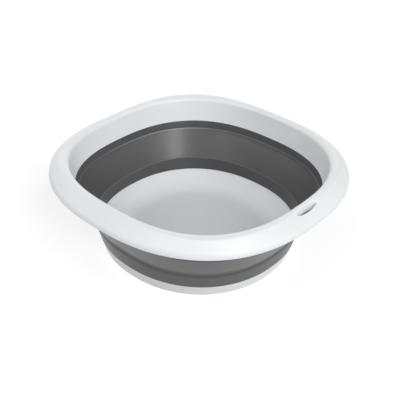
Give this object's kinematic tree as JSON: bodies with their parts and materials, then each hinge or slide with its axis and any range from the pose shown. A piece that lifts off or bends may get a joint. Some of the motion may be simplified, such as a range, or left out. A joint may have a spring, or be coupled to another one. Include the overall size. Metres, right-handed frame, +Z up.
{
  "type": "collapsible wash basin",
  "caption": "Rounded square wash basin with a stiff rolled rim, a soft wall that folds down at living hinges, a dished base pan and a hanging slot.",
  "frame": {"origin": "centre of the foot, on the surface that the basin stands on", "axes": "+Z up, through the open top; X and Y run through the middles of the sides; the hanging slot is in the rim on the -Y side"},
  "size_m": [0.322, 0.322, 0.1101],
  "materials": {
    "stiff_white": "satin moulded polypropylene",
    "soft_grey": "matt thermoplastic elastomer"
  },
  "bodies": {
    "base_body": {"base_pan": "stiff_white", "wall_lower_band": "soft_grey", "folding_panel": "soft_grey"},
    "rim_body": {"rim": "stiff_white", "wall_upper_band": "soft_grey"}
  },
  "joints": [
    {"name": "collapse", "type": "slide", "parent": "base_body", "child": "rim_body", "axis": [0, 0, -1], "range_m": [0, 0.0658], "deforming": ["folding_panel"]}
  ]
}
